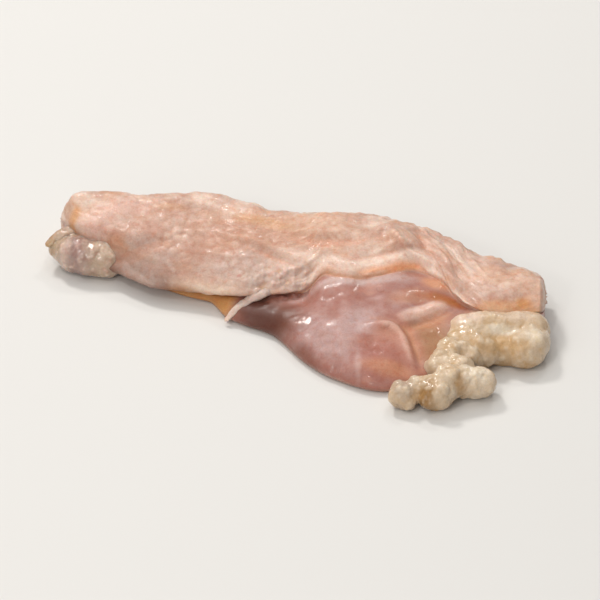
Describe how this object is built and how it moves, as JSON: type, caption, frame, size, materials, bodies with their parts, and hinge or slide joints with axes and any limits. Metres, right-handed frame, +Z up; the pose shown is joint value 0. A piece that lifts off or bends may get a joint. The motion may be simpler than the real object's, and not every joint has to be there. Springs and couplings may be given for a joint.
{
  "type": "raw chicken skin",
  "caption": "Folded flap of raw chicken skin: bumpy outer skin rolled over a back ridge, a lipped fold over smooth membrane at the front, and lumpy fat along the right-hand edge.",
  "frame": {"origin": "middle of the footprint, on the level the piece rests on", "axes": "+X along the length towards the fat, +Y towards the ridge at the back, +Z up"},
  "size_m": [0.142, 0.0904, 0.02],
  "materials": {
    "raw_skin": "wet, soft and slightly translucent"
  },
  "bodies": {
    "root": {"chicken_skin": "raw_skin"}
  },
  "joints": []
}
